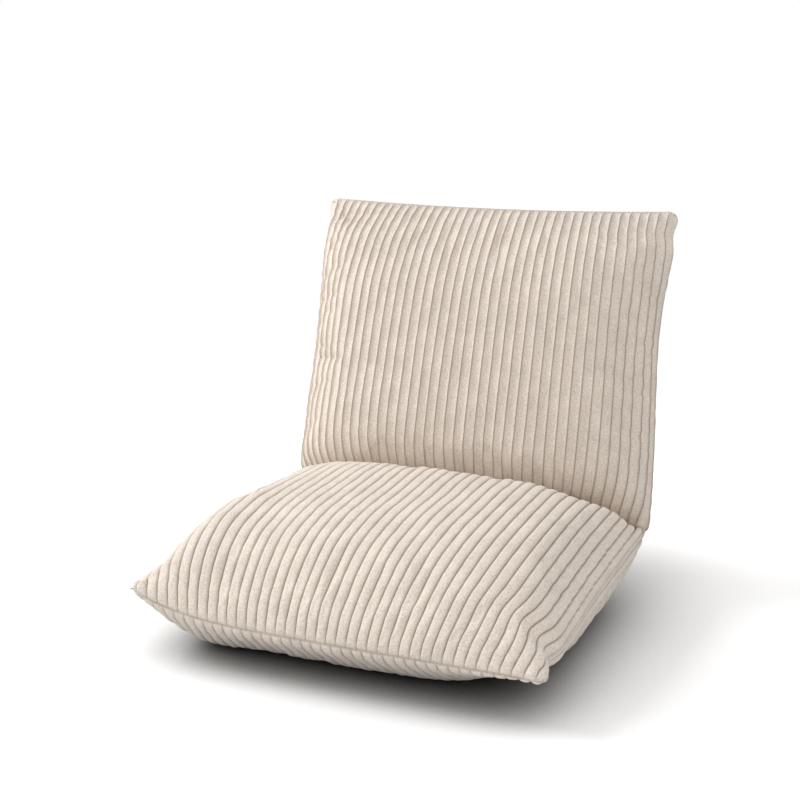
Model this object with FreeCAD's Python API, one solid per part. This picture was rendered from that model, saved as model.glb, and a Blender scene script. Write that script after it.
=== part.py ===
import FreeCAD, Part
import os
from math import atan, cos, degrees, hypot, pi, radians, sin, tan

# Folding floor chair: two pillow cushions in wide-wale corduroy on a steel tube frame that
# folds at the waist on a pair of hidden ratchet hinges.
# Millimetres. X runs across the seat, the chair faces -Y, Z is up. The origin is on the floor,
# under the middle of the seat. The back stands at its tenth notch, 16 degrees past upright.

# Cushions
chair_width = 480.0
seat_length = 395.0
back_length = 392.0
waist_height = 90.0
front_seam_height = 66.0
seat_crown = 74.0
back_front_crown = 60.0
back_rear_crown = 58.0
side_draw_in = 5.0
front_shoulder = 60.0
front_shoulder_share = 0.75
base_shoulder = 115.0
floor_cut = 0.5
fabric = 3.0
waist_panel_radius = 42.0
waist_seam_radius = 6.0
fold_seam_angle = 20.0
soft_gap = 0.3

# How each cushion rounds off towards its ends: run, power and how blunt the end is
crown_waist_round = (75.0, 0.55, 2.0)
crown_end_round = (180.0, 0.75, 2.0)
base_waist_round = (60.0, 0.70, 14.0)
base_front_round = (78.0, 0.75, 2.0)
rear_waist_round = (110.0, 0.60, 38.0)
rear_top_round = (160.0, 0.75, 2.0)
loft_stations = 13

# Fold
back_recline = 16.0
notches_from_flat = 9
folded_notches = 9
holding_notches = 14
tooth_pitch = (90.0 - back_recline) / notches_from_flat
back_angle = 90.0 + back_recline
folded_angle = back_angle - folded_notches * tooth_pitch

# Foam slabs and the fibre layer round them
foam_side_margin = 35.0
foam_flat_margin = 100.0
foam_waist_start = 60.0
foam_end_margin = 45.0
fibre_waist_start = 48.0
frame_height = 78.0
seat_foam_top = 130.0
seat_foam_bottom = 16.0
seat_foam_edge_rise = 22.0
seat_foam_edge_drop = 28.0
seat_foam_front_rise = 14.0
seat_foam_front_drop = 38.0
back_foam_front = 42.0
back_foam_rear = 40.0
back_foam_edge = 22.0
back_foam_end = 14.0
foam_corner_bevel = (55.0, 105.0)
foam_slope_run = 95.0

# Frame tubes
tube_radius = 8.0
tube_wall = 1.2
cross_tube_radius = 6.0
bend_radius = 45.0
seat_tube_start = 42.0
back_tube_start = 34.0
tube_end_margin = 77.0
seat_cross_places = (95.0, 205.0)
back_cross_places = (95.0, 205.0)
weld_gap = 0.05

# Ratchet hinges
hinge_inset = 62.0
gear_thickness = 3.0
plate_thickness = 2.0
plate_clearance = 0.1
hub_radius = 29.0
pivot_radius = 5.0
pin_radius = 3.0
running_clearance = 0.06
head_height = 2.0
head_share, head_taper = 1.65, 0.6
root_radius = 17.5
tip_radius = 20.0
tooth_clearance = 0.08
relief_depth = 0.5
# Shares of the pitch at which a tooth starts, reaches its tip, leaves it and ends
tooth_foot, tooth_rise, tooth_tip, tooth_drop = 0.06, 0.62, 0.80, 0.92
pawl_angle = -70.0
pawl_length = 28.0
pawl_boss_radius = 5.5
pawl_back_radius = 24.5
pawl_half_teeth = 1.5
pawl_lift = 8
pawl_tail = 13.0
# Corners of the pawl where its neck meets the boss, in boss radii
pawl_neck = ((-0.5, 0.8), (0.25, -0.95))
arm_width = 18.0
arm_length = 100.0
tail_half_height = 11.0
tail_length = 105.0
spacer_places = (62.0, 94.0)
spacer_radius = 4.5
leaf_thickness = 0.7
leaf_width = 2.4

axis_y = seat_length / 2
frame_drop = frame_height - waist_height
half_width = chair_width / 2
hinge_place = half_width - hinge_inset
foam_half_width = half_width - foam_side_margin
foam_flat_half_width = half_width - foam_flat_margin
folded_slope = tan(radians(folded_angle / 2))


def turned_point(x, along, across, angle):
    """A point seen from the hinge axis, along and across a line raised from the seat by angle."""
    turn = radians(angle)
    forward = along * cos(turn) - across * sin(turn)
    up = along * sin(turn) + across * cos(turn)
    return FreeCAD.Vector(x, axis_y - forward, waist_height + up)


def hinge_point(along, angle):
    """A point in the hinge's plane, at a distance and an angle from its axis."""
    return turned_point(0, along, 0, angle)


def plane_point(forward, up):
    """A point in the hinge's plane, forward of its axis and over it."""
    return turned_point(0, forward, up, 0)


def seat_place(x, s, t):
    """Seat: s runs forward from the waist, t is the height over the floor."""
    return FreeCAD.Vector(x, axis_y - s, t)


def back_place(x, s, t):
    """Back: s runs up from the waist, t stands out of its front face."""
    turn = radians(back_recline)
    y = axis_y + s * sin(turn) - t * cos(turn)
    return FreeCAD.Vector(x, y, waist_height + s * cos(turn) + t * sin(turn))


def seat_seam(s):
    """Height of the side seam, which drops from the waist to the front."""
    return waist_height - (waist_height - front_seam_height) * s / seat_length


def back_seam(s):
    """The back's side seams lie in its middle plane."""
    return 0.0


def line(start, end):
    return Part.LineSegment(start, end).toShape()


def arc(start, middle, end):
    return Part.Arc(start, middle, end).toShape()


def prism(corners, x_from, x_to):
    """A side profile, given as points at x_from, drawn across the chair to x_to."""
    face = Part.Face(Part.makePolygon(corners + corners[:1]))
    return face.extrude(FreeCAD.Vector(x_to - x_from, 0, 0))


def cross_cylinder(y, z, radius, x_from, x_to):
    """A cylinder that lies along X."""
    return Part.makeCylinder(
        radius, x_to - x_from, FreeCAD.Vector(x_from, y, z), FreeCAD.Vector(1, 0, 0)
    )


def end_round(distance, rounding):
    """Share of the full crown at a distance from a cushion's end."""
    run, power, blunt = rounding
    reach = min((distance + blunt) / run, 1.0)
    return (1.0 - (1.0 - reach) ** 2) ** power


def shoulder_middle(table, joint, edge, slope):
    """Middle point of the shoulder arc that leaves the crown's end at its slope."""
    run = edge - table
    radius = (run**2 + joint**2) / (2 * (joint * cos(slope) - run * sin(slope)))
    centre = (table - radius * sin(slope), joint - radius * cos(slope))
    first = (sin(slope), cos(slope))
    last = ((edge - centre[0]) / radius, -centre[1] / radius)
    mid = (first[0] + last[0], first[1] + last[1])
    size = hypot(*mid)
    return centre[0] + radius * mid[0] / size, centre[1] + radius * mid[1] / size


def section(point, edge, rise, shoulder, share):
    """Cross-section of half a cushion: seam line, two shoulder arcs and the crown over them."""
    table = edge - shoulder
    joint = rise * share
    slope = 2 * atan((rise - joint) / table)
    mx, mt = shoulder_middle(table, joint, edge, slope)
    if share < 1:
        crown = arc(point(table, joint), point(0, rise), point(-table, joint))
    else:
        crown = line(point(table, joint), point(-table, joint))
    return Part.Wire(
        [
            line(point(-edge, 0), point(edge, 0)),
            arc(point(edge, 0), point(mx, mt), point(table, joint)),
            crown,
            arc(point(-table, joint), point(-mx, mt), point(-edge, 0)),
        ]
    )


def half_form(place, seam, length, rise_at, up, shoulder, share, margin, seam_gap):
    """Half a cushion as a loft from its waist to its far end, drawn in by margin all round."""
    start, end = soft_gap + margin, length - margin
    wires = []
    for i in range(loft_stations):
        s = start + (end - start) * (1 - cos(pi * i / (loft_stations - 1))) / 2
        edge = half_width - margin - side_draw_in * sin(pi * s / length)
        rise = rise_at(s, margin)

        def point(x, t, s=s):
            return place(x, s, seam(s) + up * (seam_gap + t))

        wires.append(section(point, edge, rise, shoulder, share))
    return Part.makeLoft(wires, True, False)


def rounded_crown(crown, length, waist_round, far_round):
    """Height of a crown along a cushion, for a form drawn in by a margin."""

    def rise_at(s, margin):
        full = crown(s) if callable(crown) else crown
        waist = end_round(s - margin, waist_round)
        far = end_round(length - margin - s, far_round)
        return (full - margin) * waist * far

    return rise_at


seat_top_rise = rounded_crown(seat_crown, seat_length, crown_waist_round, crown_end_round)
seat_base_rise = rounded_crown(
    lambda s: seat_seam(s) + floor_cut, seat_length, base_waist_round, base_front_round
)
back_front_rise = rounded_crown(
    back_front_crown, back_length, crown_waist_round, crown_end_round
)
back_rear_rise = rounded_crown(back_rear_crown, back_length, rear_waist_round, rear_top_round)


def crease_block(side, offset):
    """The space past the crease plane, which halves the angle between seat and back."""
    reach = 2 * seat_length
    corners = [
        turned_point(-chair_width, along, across, back_angle / 2)
        for along, across in (
            (-reach, -side * offset),
            (reach, -side * offset),
            (reach, side * reach),
            (-reach, side * reach),
        )
    ]
    return prism(corners, -chair_width, chair_width)


def hub_space(radius):
    """Room round the hinge axis, free from the outer face of one hinge to the other's."""
    reach = hinge_place + outer_face + head_height + 2 * soft_gap
    return cross_cylinder(axis_y, waist_height, radius, -reach, reach)


def top_form(place, seam, length, rise_at, side, margin):
    """Upper half of the seat or front half of the back, pressed flat against the other."""
    form = half_form(
        place, seam, length, rise_at, 1, front_shoulder, front_shoulder_share, margin,
        soft_gap / 2,
    )
    return form.cut(crease_block(side, soft_gap / 2 + margin))


def seat_top_form(margin):
    return top_form(seat_place, seat_seam, seat_length, seat_top_rise, 1, margin)


def back_front_form(margin):
    return top_form(back_place, back_seam, back_length, back_front_rise, -1, margin)


def seat_base_form(margin):
    """Under half of the seat, flat where it rests on the floor."""
    form = half_form(
        seat_place, seat_seam, seat_length, seat_base_rise, -1, base_shoulder, 1.0, margin,
        soft_gap / 2,
    )
    below = Part.makeBox(
        2 * chair_width, 2 * chair_width, chair_width,
        FreeCAD.Vector(-chair_width, -chair_width, -chair_width),
    )
    return form.cut(below)


def back_rear_form(margin):
    """Rear half of the back."""
    return half_form(
        back_place, back_seam, back_length, back_rear_rise, -1, front_shoulder,
        front_shoulder_share, margin, soft_gap / 2,
    )


def cover_panel(form):
    """Corduroy panel: the form's skin, open along the side seams and at the hinge."""
    radius = hub_radius + fabric + 2 * soft_gap
    return form(0).cut(form(fabric)).cut(hub_space(radius))


def fold_panel():
    """Strip of the cover in the crease, which hides the hinges when the back lies flat."""
    ring = hub_space(hub_radius + fabric + soft_gap).cut(hub_space(hub_radius + soft_gap))
    reach = 4 * hub_radius
    sector = prism(
        [
            turned_point(-chair_width, along, 0, angle)
            for along, angle in (
                (0, 0),
                (reach, fold_seam_angle),
                (reach, back_angle / 2),
                (reach, back_angle - fold_seam_angle),
            )
        ],
        -chair_width,
        chair_width,
    )
    return ring.common(sector)


def waist_panel():
    """Strip of the cover that goes round the outside of the hinge, from the base to the rear."""

    def point(x, t):
        return FreeCAD.Vector(x, axis_y, waist_height - waist_seam_radius - t)

    def outline(margin):
        edge = half_width - fabric - margin
        rise = waist_panel_radius - waist_seam_radius - margin
        return Part.Face(section(point, edge, rise, base_shoulder, 1.0))

    profile = outline(0).cut(outline(fabric)).Faces[0]
    middle = FreeCAD.Vector(0, axis_y, waist_height)
    return profile.revolve(middle, FreeCAD.Vector(1, 0, 0), 90.0 - back_recline)


def foam_block(corners, place, cross, length, grow):
    """A slab with one profile from the side, one along its length and bevelled far corners."""
    side = prism([place(-chair_width, s, t) for s, t in corners], -chair_width, chair_width)
    ends = [place(x, -length, t) for x, t in cross]
    run = place(0, 2 * length, 0) - place(0, -length, 0)
    along = Part.Face(Part.makePolygon(ends + ends[:1])).extrude(run)
    wide, end = foam_half_width + grow, length - foam_end_margin + grow
    bevel_across, bevel_along = foam_corner_bevel
    plan = [
        place(x, s, -length)
        for x, s in (
            (-wide, 0),
            (wide, 0),
            (wide, end - bevel_along),
            (wide - bevel_across, end),
            (bevel_across - wide, end),
            (-wide, end - bevel_along),
        )
    ]
    rise = place(0, 0, 2 * length) - place(0, 0, -length)
    top = Part.Face(Part.makePolygon(plan + plan[:1])).extrude(rise)
    return side.common(along).common(top)


def foam_upper(grow=0.0):
    """Seat foam over the frame. Its rear slopes so that the folded back has room."""
    rise = seat_foam_top - waist_height
    start, end = foam_waist_start - grow, seat_length - foam_end_margin + grow
    clear = soft_gap - grow
    side = [
        (start, frame_height + soft_gap / 2 - grow),
        (start, waist_height + start * folded_slope - clear),
        ((rise + clear + grow) / folded_slope, seat_foam_top + grow),
        (seat_length - foam_end_margin - foam_slope_run, seat_foam_top + grow),
        (end, frame_height + seat_foam_front_rise + grow),
        (end, frame_height + soft_gap / 2 - grow),
    ]
    wide, flat = foam_half_width + grow, foam_flat_half_width + grow
    edge = frame_height + seat_foam_edge_rise + grow
    top = seat_foam_top + grow
    cross = [(-wide, 0), (wide, 0), (wide, edge), (flat, top), (-flat, top), (-wide, edge)]
    return foam_block(side, seat_place, cross, seat_length, grow)


def foam_lower(grow=0.0):
    """Seat foam under the frame."""
    start, end = foam_waist_start - grow, seat_length - foam_end_margin + grow
    top = frame_height - soft_gap / 2 + grow
    low = seat_foam_bottom - grow
    side = [
        (start, top),
        (start, low + seat_foam_front_drop / 2),
        (start + seat_foam_front_drop / 2, low),
        (seat_length - foam_end_margin - foam_slope_run, low),
        (end, low + seat_foam_front_drop),
        (end, top),
    ]
    wide, flat = foam_half_width + grow, foam_flat_half_width + grow
    edge = frame_height - seat_foam_edge_drop - grow
    high = frame_height + grow
    cross = [(-wide, high), (wide, high), (wide, edge), (flat, low), (-flat, low), (-wide, edge)]
    return foam_block(side, seat_place, cross, seat_length, grow)


def foam_front(grow=0.0):
    """Back foam in front of the frame, sloped towards the waist like the seat's."""
    start, end = foam_waist_start - grow, back_length - foam_end_margin + grow
    clear = soft_gap - grow
    low = soft_gap / 2 - grow
    side = [
        (start, low),
        (start, start * folded_slope - clear),
        ((back_foam_front + clear + grow) / folded_slope, back_foam_front + grow),
        (back_length - foam_end_margin - foam_slope_run, back_foam_front + grow),
        (end, back_foam_end + grow),
        (end, low),
    ]
    wide, flat = foam_half_width + grow, foam_flat_half_width + grow
    edge, top = back_foam_edge + grow, back_foam_front + grow
    cross = [(-wide, low), (wide, low), (wide, edge), (flat, top), (-flat, top), (-wide, edge)]
    return foam_block(side, back_place, cross, back_length, grow)


def foam_rear(grow=0.0):
    """Back foam behind the frame."""
    start, end = foam_waist_start - grow, back_length - foam_end_margin + grow
    high = -soft_gap / 2 + grow
    deep = -back_foam_rear - grow
    side = [
        (start, high),
        (start, deep / 2),
        (start - deep / 2, deep),
        (back_length - foam_end_margin - foam_slope_run, deep),
        (end, -back_foam_end - grow),
        (end, high),
    ]
    wide, flat = foam_half_width + grow, foam_flat_half_width + grow
    edge = -back_foam_edge - grow
    cross = [(-wide, high), (wide, high), (wide, edge), (flat, deep), (-flat, deep), (-wide, edge)]
    return foam_block(side, back_place, cross, back_length, grow)


def waist_opening(place, length):
    """Room behind the foam, so that the fibre layer ends before the hinge."""
    corners = [
        place(-chair_width, s, t)
        for s, t in (
            (-length, -length),
            (fibre_waist_start, -length),
            (fibre_waist_start, length),
            (-length, length),
        )
    ]
    return prism(corners, -chair_width, chair_width)


def rear_window(place, low, high):
    """Opening through the fibre layer's waist end, where the frame passes into the foam."""
    edge = foam_half_width + soft_gap
    corners = [
        place(-edge, s, t)
        for s, t in (
            (0, low),
            (foam_waist_start + 1, low),
            (foam_waist_start + 1, high),
            (0, high),
        )
    ]
    return prism(corners, -edge, edge)


def fibre_layer(form, place, length, foams, window):
    """Polyester fibre between a cover panel and the foam."""
    layer = form(fabric + soft_gap).cut(waist_opening(place, length))
    for foam in foams:
        layer = layer.cut(foam(soft_gap))
    return layer.cut(rear_window(place, *window))


def rail_path(place, level, start, end, side):
    """Centre line of a frame tube: out one rail, across the far end and back."""
    reach = end - bend_radius
    inner = side - bend_radius
    corner = bend_radius * sin(pi / 4)
    left = [place(-side, start, level), place(-side, reach, level)]
    right = [place(side, reach, level), place(side, start, level)]
    left_mid = place(-inner - corner, reach + corner, level)
    right_mid = place(inner + corner, reach + corner, level)
    left_end, right_end = place(-inner, end, level), place(inner, end, level)
    return Part.Wire(
        [
            line(*left),
            arc(left[1], left_mid, left_end),
            line(left_end, right_end),
            arc(right_end, right_mid, right[0]),
            line(*right),
        ]
    )


def sweep(path, radius):
    """A round bar along a path."""
    first = path.Edges[0]
    start = first.valueAt(first.FirstParameter)
    heading = first.tangentAt(first.FirstParameter)
    ring = Part.Wire(Part.makeCircle(radius, start, heading))
    return path.makePipeShell([ring], True, False)


seat_rail_place = hinge_place - gear_thickness / 2 - plate_clearance - plate_thickness - tube_radius
back_rail_place = hinge_place - gear_thickness / 2 - tube_radius
seat_path = rail_path(
    seat_place, frame_height, seat_tube_start, seat_length - tube_end_margin, seat_rail_place
)
back_path = rail_path(
    back_place, 0.0, back_tube_start, back_length - tube_end_margin, back_rail_place
)


def cross_tubes(place, level, places, rail_place, path):
    """Tubes welded between the two rails, shaped at their ends to sit round them."""
    rails = sweep(path, tube_radius + weld_gap)
    tubes = []
    for s in places:
        middle = place(0, s, level)
        outer = cross_cylinder(middle.y, middle.z, cross_tube_radius, -rail_place, rail_place)
        bore = cross_cylinder(
            middle.y, middle.z, cross_tube_radius - tube_wall, -rail_place, rail_place
        )
        tubes.append(outer.cut(rails).cut(bore))
    return tubes


def outline_face(corners):
    """A flat face from its corners."""
    return Part.Face(Part.makePolygon(corners + corners[:1]))


def round_face(middle, radius):
    """A disc in the hinge's plane."""
    return Part.Face(Part.Wire(Part.makeCircle(radius, middle, FreeCAD.Vector(1, 0, 0))))


def plate(face, x_from, x_to):
    """A face in the hinge's plane, given thickness across the chair."""
    solid = face.extrude(FreeCAD.Vector(x_to - x_from, 0, 0))
    solid.translate(FreeCAD.Vector(x_from, 0, 0))
    return solid


def joined_plate(faces, x_from, x_to):
    """Overlapping faces in the hinge's plane, made into one plate."""
    first, *others = [plate(face, x_from, x_to) for face in faces]
    return first.fuse(others).removeSplitter()


def hinge_pin(forward, up, radius, x_from, x_to):
    return cross_cylinder(axis_y - forward, waist_height + up, radius, x_from, x_to)


mesh_radius = (root_radius + tip_radius) / 2
nose = (mesh_radius * cos(radians(pawl_angle)), mesh_radius * sin(radians(pawl_angle)))
pawl_pin = (
    nose[0] - pawl_length * sin(radians(pawl_angle)),
    nose[1] + pawl_length * cos(radians(pawl_angle)),
)


def toothed_disc(clearance):
    """Ratchet wheel with its holding teeth, a relieved rim past them and the plain rest."""
    spread = degrees(clearance / mesh_radius)
    root, tip = root_radius + clearance, tip_radius + clearance
    low = pawl_angle - (notches_from_flat + 1.5) * tooth_pitch
    corners = []
    for i in range(holding_notches + 2):
        start = low + i * tooth_pitch
        corners += [
            hinge_point(root, start + tooth_foot * tooth_pitch - spread),
            hinge_point(tip, start + tooth_rise * tooth_pitch - spread),
            hinge_point(tip, start + tooth_tip * tooth_pitch + spread),
            hinge_point(root, start + tooth_drop * tooth_pitch + spread),
        ]
    relieved_from = low + (holding_notches + 2) * tooth_pitch
    relieved_to = pawl_angle + (folded_notches + 2.5) * tooth_pitch
    plain_from, plain_to = relieved_to + tooth_pitch / 4, 360.0 + low - tooth_pitch / 4
    relief = root_radius - relief_depth + clearance
    for radius, first, last in (
        (relief, relieved_from, relieved_to),
        (root, plain_from, plain_to),
    ):
        steps = round((last - first) / tooth_pitch)
        corners += [
            hinge_point(radius, first + (last - first) * i / steps) for i in range(steps + 1)
        ]
    return outline_face(corners)


def gear_arm():
    """Ratchet wheel and the arm that the back frame is welded to, cut from one plate."""
    half, end = arm_width / 2, arm_length - arm_width / 2
    arm = outline_face(
        [back_place(0, s, t) for s, t in ((0, -half), (end, -half), (end, half), (0, half))]
    )
    faces = [toothed_disc(0), arm, round_face(back_place(0, end, 0), half)]
    bore = hinge_pin(0, 0, pivot_radius + running_clearance, -gear_thickness, gear_thickness)
    return joined_plate(faces, -gear_thickness / 2, gear_thickness / 2).cut(bore)


def pawl():
    """Lever whose teeth drop into the wheel and stop the back from leaning further back."""
    thick = gear_thickness / 2
    reach = pawl_half_teeth * tooth_pitch
    forward, up = pawl_pin
    steps = 6
    face = root_radius - relief_depth
    head = outline_face(
        [hinge_point(face, pawl_angle - reach), hinge_point(face, pawl_angle + reach)]
        + [
            hinge_point(pawl_back_radius, pawl_angle + reach - 2 * reach * i / steps)
            for i in range(steps + 1)
        ]
    )
    neck = outline_face(
        [
            hinge_point(pawl_back_radius, pawl_angle),
            hinge_point(root_radius, pawl_angle + reach),
        ]
        + [
            plane_point(forward + along * pawl_boss_radius, up + across * pawl_boss_radius)
            for along, across in pawl_neck
        ]
    )
    tail = outline_face(
        [
            plane_point(forward, up + pawl_boss_radius),
            plane_point(forward + pawl_tail, up + pawl_boss_radius / 2),
            plane_point(forward + pawl_tail, up - pawl_boss_radius / 5),
            plane_point(forward, up - pawl_boss_radius),
        ]
    )
    boss = round_face(plane_point(forward, up), pawl_boss_radius)
    lever = joined_plate([head, neck, boss, tail], -thick, thick)
    # Its teeth clear the wheel's while it lifts, one degree at a time
    for lift in range(pawl_lift + 1):
        wheel = plate(toothed_disc(tooth_clearance), -gear_thickness, gear_thickness)
        wheel.rotate(plane_point(forward, up), FreeCAD.Vector(1, 0, 0), lift)
        lever = lever.cut(wheel)
    bore = hinge_pin(forward, up, pin_radius + running_clearance, -gear_thickness, gear_thickness)
    return lever.cut(bore)


def case_faces():
    """Outline of a case plate: a hub round the wheel and a tail along the seat rail."""
    high, low = frame_drop + tail_half_height, frame_drop - tail_half_height
    end = tail_length - tail_half_height
    tail = outline_face(
        [
            plane_point(0, hub_radius),
            plane_point(hub_radius + tail_half_height, high),
            plane_point(end, high),
            plane_point(end, low),
            plane_point(hub_radius, low),
            plane_point(0, -hub_radius),
        ]
    )
    hub = round_face(plane_point(0, 0), hub_radius)
    return [hub, tail, round_face(plane_point(end, frame_drop), tail_half_height)]


def case_plate(x_from, x_to):
    """One of the two plates that hold the wheel and the pawl between them."""
    solid = joined_plate(case_faces(), x_from, x_to)
    pins = [(0, 0, pivot_radius), (*pawl_pin, pin_radius)]
    pins += [(forward, frame_drop, pin_radius) for forward in spacer_places]
    for forward, up, radius in pins:
        solid = solid.cut(
            hinge_pin(forward, up, radius + weld_gap, x_from - 1, x_to + 1)
        )
    return solid


inner_face = gear_thickness / 2 + plate_clearance
outer_face = inner_face + plate_thickness


def rivet(forward, up, radius, both_heads):
    """Rivet through the hinge, with a head on its outer end and, at the pivot, on both."""
    head_radius = head_share * radius
    inner_end = -outer_face - (weld_gap if both_heads else 0)
    shank = hinge_pin(forward, up, radius, inner_end, outer_face + weld_gap)
    head = Part.makeCone(
        head_radius, head_taper * head_radius, head_height,
        FreeCAD.Vector(outer_face + weld_gap, axis_y - forward, waist_height + up),
        FreeCAD.Vector(1, 0, 0),
    )
    solid = shank.fuse(head)
    if both_heads:
        other = Part.makeCone(
            head_radius, head_taper * head_radius, head_height,
            FreeCAD.Vector(inner_end, axis_y - forward, waist_height + up),
            FreeCAD.Vector(-1, 0, 0),
        )
        solid = solid.fuse(other)
    return solid


def spacer_rivet(forward):
    """Rivet with a collar that keeps the two plates apart."""
    collar = hinge_pin(
        forward, frame_drop, spacer_radius, -inner_face + weld_gap, inner_face - weld_gap
    )
    return rivet(forward, frame_drop, pin_radius, False).fuse(collar)


def pawl_spring():
    """Leaf spring, looped round the first spacer, that presses on the pawl's tail."""
    forward = spacer_places[0]
    inner = spacer_radius + soft_gap
    outer = inner + leaf_thickness
    half = leaf_width / 2
    ring = hinge_pin(forward, frame_drop, outer, -half, half)
    ring = ring.cut(hinge_pin(forward, frame_drop, inner, -leaf_width, leaf_width))
    mouth = outline_face(
        [
            plane_point(forward, frame_drop),
            plane_point(forward - 2 * outer, frame_drop + outer),
            plane_point(forward - 2 * outer, frame_drop - outer),
        ]
    )
    ring = ring.cut(plate(mouth, -leaf_width, leaf_width))
    # The leg leaves the ring at its top and ends just over the pawl's tail
    end_forward = pawl_pin[0] + pawl_tail - leaf_thickness
    end_up = pawl_pin[1] + pawl_boss_radius / 2 + soft_gap + leaf_thickness
    top = frame_drop + outer
    leg = outline_face(
        [
            plane_point(end_forward, end_up),
            plane_point(forward, top),
            plane_point(forward, top - leaf_thickness),
            plane_point(end_forward, end_up - leaf_thickness),
        ]
    )
    return ring.fuse(plate(leg, -half, half)).removeSplitter()


def at_side(solid, side):
    """Moves a part of the hinge to one side, with its outer face outwards on both."""
    moved = solid.copy()
    if side < 0:
        moved = moved.mirror(FreeCAD.Vector(0, 0, 0), FreeCAD.Vector(1, 0, 0))
    moved.translate(FreeCAD.Vector(side * hinge_place, 0, 0))
    return moved


def hinge_parts():
    """The pieces of one ratchet hinge, by name, with the hinge's middle at X = 0."""
    return {
        "case_plate_inner": [case_plate(-outer_face, -inner_face)],
        "case_plate_outer": [case_plate(inner_face, outer_face)],
        "gear_arm": [gear_arm()],
        "pawl": [pawl()],
        "pawl_spring": [pawl_spring()],
        "pivot_rivet": [rivet(0, 0, pivot_radius, True)],
        "pawl_rivet": [rivet(*pawl_pin, pin_radius, False)],
        "spacer_rivets": [spacer_rivet(forward) for forward in spacer_places],
    }


def hinge_channels():
    """Slots in the seat foam for the hinge cases."""
    x_from, x_to = -outer_face - soft_gap, outer_face + head_height + 2 * soft_gap
    corners = [
        (fibre_waist_start, frame_drop - tail_half_height - soft_gap),
        (tail_length + soft_gap, frame_drop - tail_half_height - soft_gap),
        (tail_length + soft_gap, frame_drop + tail_half_height + soft_gap),
        (fibre_waist_start, frame_drop + tail_half_height + soft_gap),
    ]
    slot = plate(outline_face([plane_point(*corner) for corner in corners]), x_from, x_to)
    return [at_side(slot, side) for side in (-1, 1)]


def arm_channels():
    """Slots in the back foam for the gear arms."""
    half = arm_width / 2 + soft_gap
    thick = gear_thickness / 2 + soft_gap
    corners = [
        back_place(0, s, t)
        for s, t in (
            (fibre_waist_start, -half),
            (arm_length + soft_gap, -half),
            (arm_length + soft_gap, half),
            (fibre_waist_start, half),
        )
    ]
    slot = plate(outline_face(corners), -thick, thick)
    return [at_side(slot, side) for side in (-1, 1)]


def frame_grooves(place, level, places, path, rail_place):
    """What the foam leaves free for the frame tubes."""
    tools = [sweep(path, tube_radius + soft_gap)]
    for s in places:
        middle = place(0, s, level)
        tools.append(
            cross_cylinder(
                middle.y, middle.z, cross_tube_radius + soft_gap, -rail_place, rail_place
            )
        )
    return tools


def cut_all(solid, tools):
    for tool in tools:
        solid = solid.cut(tool)
    return solid


def build():
    """Every node's solids, by name."""
    nodes = {}
    nodes["seat_frame_tube"] = [
        sweep(seat_path, tube_radius).cut(sweep(seat_path, tube_radius - tube_wall))
    ]
    nodes["back_frame_tube"] = [
        sweep(back_path, tube_radius).cut(sweep(back_path, tube_radius - tube_wall))
    ]
    nodes["seat_cross_tubes"] = cross_tubes(
        seat_place, frame_height, seat_cross_places, seat_rail_place, seat_path
    )
    nodes["back_cross_tubes"] = cross_tubes(
        back_place, 0.0, back_cross_places, back_rail_place, back_path
    )
    hinge = hinge_parts()
    for side, word in ((-1, "left"), (1, "right")):
        for name, solids in hinge.items():
            nodes[f"{word}_{name}"] = [at_side(solid, side) for solid in solids]

    seat_tools = hinge_channels() + frame_grooves(
        seat_place, frame_height, seat_cross_places, seat_path, seat_rail_place
    )
    back_tools = arm_channels() + frame_grooves(
        back_place, 0.0, back_cross_places, back_path, back_rail_place
    )
    nodes["seat_foam_upper"] = [cut_all(foam_upper(), seat_tools)]
    nodes["seat_foam_lower"] = [cut_all(foam_lower(), seat_tools)]
    nodes["back_foam_front"] = [cut_all(foam_front(), back_tools)]
    nodes["back_foam_rear"] = [cut_all(foam_rear(), back_tools)]

    seat_foams, back_foams = (foam_upper, foam_lower), (foam_front, foam_rear)
    foam_waist_rise = foam_waist_start * folded_slope
    seat_window = (seat_foam_bottom, waist_height + foam_waist_rise)
    back_window = (-back_foam_rear / 2, foam_waist_rise)
    nodes["seat_fibre_top"] = [
        fibre_layer(seat_top_form, seat_place, seat_length, seat_foams, seat_window)
    ]
    nodes["seat_fibre_base"] = [
        fibre_layer(seat_base_form, seat_place, seat_length, seat_foams, seat_window)
    ]
    nodes["back_fibre_front"] = [
        fibre_layer(back_front_form, back_place, back_length, back_foams, back_window)
    ]
    nodes["back_fibre_rear"] = [
        fibre_layer(back_rear_form, back_place, back_length, back_foams, back_window)
    ]
    nodes["seat_top_panel"] = [cover_panel(seat_top_form)]
    nodes["seat_base_panel"] = [cover_panel(seat_base_form)]
    nodes["back_front_panel"] = [cover_panel(back_front_form)]
    nodes["back_rear_panel"] = [cover_panel(back_rear_form)]
    nodes["waist_panel"] = [waist_panel()]
    nodes["fold_panel"] = [fold_panel()]
    return nodes


def export(nodes):
    """One STEP file for each node, its solids side by side."""
    os.makedirs("parts", exist_ok=True)
    for name, solids in nodes.items():
        bodies = [body for solid in solids for body in solid.Solids]
        shape = bodies[0] if len(bodies) == 1 else Part.makeCompound(bodies)
        shape.exportStep(f"parts/{name}.step")
        print(f"{name}: {len(bodies)} solids, {shape.Volume / 1000:.1f} cm3, valid {shape.isValid()}")


export(build())
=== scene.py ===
from math import cos, pi, radians, sin

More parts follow.
